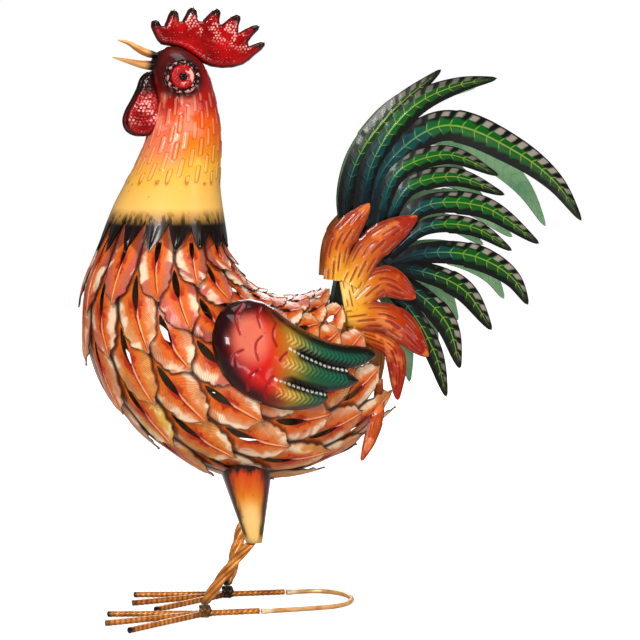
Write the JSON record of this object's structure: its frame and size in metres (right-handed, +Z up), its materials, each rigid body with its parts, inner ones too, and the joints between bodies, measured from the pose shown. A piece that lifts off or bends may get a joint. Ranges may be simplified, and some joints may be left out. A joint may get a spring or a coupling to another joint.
{
  "type": "rooster garden ornament",
  "caption": "Free-standing sheet-metal rooster with leaf-plate body, spiked comb, stamped wings, sickle tail feathers and a wire foot support.",
  "frame": {"origin": "middle of the underside of the bounding box, on the ground plane between the feet and the tail", "axes": "+Z up, the beak points along -X, the tail along +X, and the bird's left side is -Y"},
  "size_m": [0.446, 0.2222, 0.5208],
  "materials": {
    "leaf_lacquer": "gloss lacquer over embossed sheet, salmon to orange and red",
    "neck_lacquer": "gloss lacquer fading from red to amber with black points",
    "comb_lacquer": "gloss red lacquer over pebbled sheet",
    "beak_lacquer": "gloss tan lacquer",
    "eye_lacquer": "gloss dark red lacquer with a black pupil",
    "wing_lacquer": "gloss lacquer, red dome, yellow and green feathers",
    "flame_lacquer": "gloss orange and red lacquer",
    "tail_lacquer": "gloss green and teal lacquer with black edges",
    "thigh_lacquer": "gloss amber lacquer with dark edges",
    "copper_rod": "copper-orange lacquered iron rod",
    "copper_wire": "copper-orange lacquered iron wire"
  },
  "bodies": {
    "root": {"body_shell": "leaf_lacquer", "neck_head": "neck_lacquer", "comb": "comb_lacquer", "beak_upper": "beak_lacquer", "beak_lower": "beak_lacquer", "eye_left": "eye_lacquer", "eye_right": "eye_lacquer", "wattle_left": "comb_lacquer", "wattle_right": "comb_lacquer", "wing_left": "wing_lacquer", "wing_right": "wing_lacquer", "saddle_flame_left": "flame_lacquer", "saddle_flame_right": "flame_lacquer", "tail_tuft_left": "flame_lacquer", "tail_tuft_right": "flame_lacquer", "tail_plate_left": "tail_lacquer", "tail_plate_right": "tail_lacquer", "thigh_left": "thigh_lacquer", "thigh_right": "thigh_lacquer", "shank_left": "copper_rod", "shank_right": "copper_rod", "foot_left": "copper_rod", "foot_right": "copper_rod", "support_loop": "copper_wire"}
  },
  "joints": []
}
